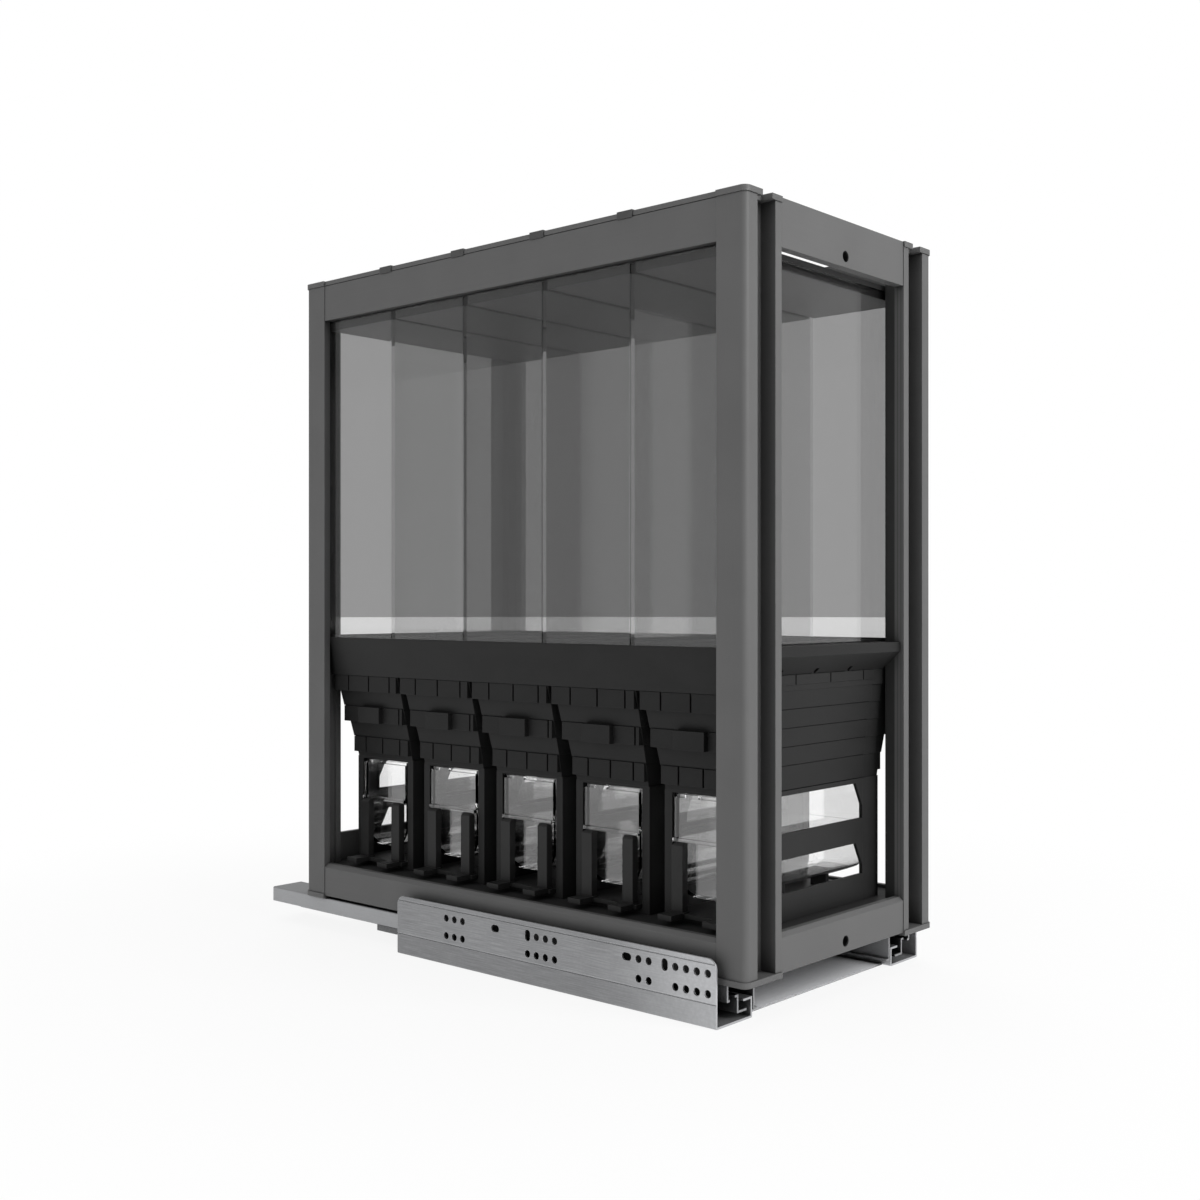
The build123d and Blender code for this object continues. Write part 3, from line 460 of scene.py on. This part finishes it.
def dress_channels():
    """Containers with their lids, clips and tray, and the hoppers, stands, cups and sledges below."""
    clips = moulded_plastic("clip_plastic", level=0.07, worn_level=0.14, roughness=0.45, gloss=0.3)
    tray = moulded_plastic("black_tray", level=0.019, worn_level=0.045, roughness=0.45)
    hoppers = moulded_plastic("black_hopper", level=0.018, worn_level=0.045, roughness=0.48)
    stands = moulded_plastic("black_stand", level=0.022, worn_level=0.05, roughness=0.48)
    sledges = moulded_plastic("black_sledge", level=0.024, worn_level=0.05, roughness=0.42, gloss=0.2)
    lids = moulded_plastic("black_lid", level=0.07, worn_level=0.1, roughness=0.5)
    floor_plate = moulded_plastic("floor_coating", level=0.03, worn_level=0.05, roughness=0.55,
                                  pit_size=0.5 * MM)
    panes = clear_plastic("smoked_panes", tint=grey(0.806), bend=1.08, mirror=1.0, roughness=0.004,
                          ripple=120 * MM, haze=0.01)
    cups = clear_plastic("crystal_cups", tint=grey(0.998), bend=1.5, mirror=0.8, roughness=0.002,
                         ripple=60 * MM, haze=0.0)
    dress(clips, "container_clips")
    dress(tray, "container_tray")
    dress(hoppers, "hopper")
    dress(stands, "stand")
    dress(sledges, "cup_sledge")
    dress(lids, "lid")
    dress(floor_plate, "floor_plate")
    dress(panes, *(f"container_{channel}" for channel in CHANNELS))
    dress(cups, *(f"cup_{channel}" for channel in CHANNELS))


def dress_runners():
    """Runner members, the plate between them, rollers and cages, and every screw."""
    dress(zinc_steel("zinc_wall", low=0.26, high=0.6, crease=RUNNER_CREASE), "cabinet_member")
    dress(zinc_steel("zinc_slide", low=0.38, high=0.46), "middle_member", "drawer_member")
    dress(zinc_steel("zinc_plate", low=0.92, high=0.97, metallic=0.0), "base_plate")
    dress(zinc_steel("zinc_screws", low=0.42, high=0.5), "frame_screws", "runner_screws")
    dress(natural_plastic("roller_plastic"), "runner_rollers")
    cages = moulded_plastic("cage_plastic", level=0.2, worn_level=0.3, roughness=0.4, gloss=0.3)
    dress(cages, "roller_cages")


def add_floor():
    """Pale floor that fades to white for the camera and keeps the object's shadow."""
    bpy.ops.mesh.primitive_circle_add(vertices=FLOOR_CORNERS, radius=FLOOR_REACH, fill_type="NGON")
    floor = bpy.context.active_object
    floor.name = "studio_floor"
    floor.location = (0.0, 0.0, cad_box[0][2] - FLOOR_DROP)
    material, finish = new_finish("floor_white")
    rays = finish.node("LightPath")
    seen = rays.output("Is Camera Ray") + rays.output("Is Glossy Ray") + rays.output("Is Transmission Ray")
    matt = finish.node("BsdfDiffuse", None, {"Color": grey(FLOOR_WHITE)})
    glow = finish.node("Emission", None, {"Color": grey(1.0), "Strength": 1.0})
    distance = finish.node("VectorMath", dict(operation="LENGTH"), {0: finish.place()}, out="Value")
    white = distance.eased(*SHADOW_REACH) * (1.0 - FLOOR_GLOW) + FLOOR_GLOW
    finish.surface(finish.node("MixShader", None, {0: seen.clamped(0.0, 1.0) * white, 1: matt, 2: glow}))
    floor.data.materials.append(material)


def add_world():
    """White backdrop for the camera, a grey one through the panes and in gloss, soft light for the rest."""
    world = bpy.data.worlds.new("studio")
    bpy.context.scene.world = world
    world.use_nodes = True
    finish = Finish(world.node_tree)
    rays = finish.node("LightPath")
    direction = finish.node("TexCoord", out="Generated")
    sky = finish.split(direction).output("Z").above(HORIZON)
    through = 1.0 - sky * (1.0 - SKY_THROUGH_GLASS)
    gloss = 1.0 - sky * (1.0 - SKY_IN_GLOSS)
    camera = rays.output("Is Camera Ray")
    transmitted = rays.output("Is Transmission Ray")
    glossy = rays.output("Is Glossy Ray") * (1.0 - transmitted)
    rest = (1.0 - camera) * (1.0 - transmitted) * (1.0 - glossy)
    strength = camera + transmitted * through + glossy * gloss + rest * SKY_LIGHT
    background = finish.node("Background", None, {"Color": grey(1.0), "Strength": strength})
    finish.node("OutputWorld", None, {"Surface": background})


def add_lamps():
    """Soft boxes round the object, unseen by the camera and through the panes. Gloss shows the front one."""
    for name, lamp in LAMPS.items():
        light = bpy.data.lights.new(name, "AREA")
        light.shape = "SQUARE"
        light.size = lamp["size"]
        light.energy = lamp["power"]
        holder = bpy.data.objects.new(name, light)
        bpy.context.scene.collection.objects.link(holder)
        holder.location = lamp["place"]
        aim = [end - start for start, end in zip(lamp["place"], lamp["aim"])]
        flat = math.hypot(aim[X], aim[Y])
        holder.rotation_euler = (math.atan2(flat, -aim[Z]), 0.0, math.atan2(aim[Y], aim[X]) - math.pi / 2)
        holder.visible_camera = False
        holder.visible_transmission = False
        holder.visible_glossy = lamp["gloss"]


def add_camera():
    """Camera at the photograph's place: level, with no shift."""
    camera = bpy.data.cameras.new("photo_camera")
    camera.sensor_width = CAMERA_SENSOR
    camera.lens = CAMERA_LENS
    camera.clip_start = CAMERA_NEAR
    holder = bpy.data.objects.new("photo_camera", camera)
    bpy.context.scene.collection.objects.link(holder)
    holder.location = CAMERA_PLACE
    holder.rotation_euler = (math.pi / 2, 0.0, math.radians(CAMERA_TURN))
    bpy.context.scene.camera = holder


def set_render():
    """Plain colours, and the bounces of light."""
    scene = bpy.context.scene
    scene.view_settings.view_transform = "Standard"
    scene.cycles.max_bounces = PANE_BOUNCES
    scene.cycles.transmission_bounces = PANE_BOUNCES
    scene.cycles.transparent_max_bounces = PANE_BOUNCES
    scene.cycles.glossy_bounces = GLOSS_BOUNCES


dress_frame()
dress_channels()
dress_runners()
add_floor()
add_world()
add_lamps()
add_camera()
set_render()
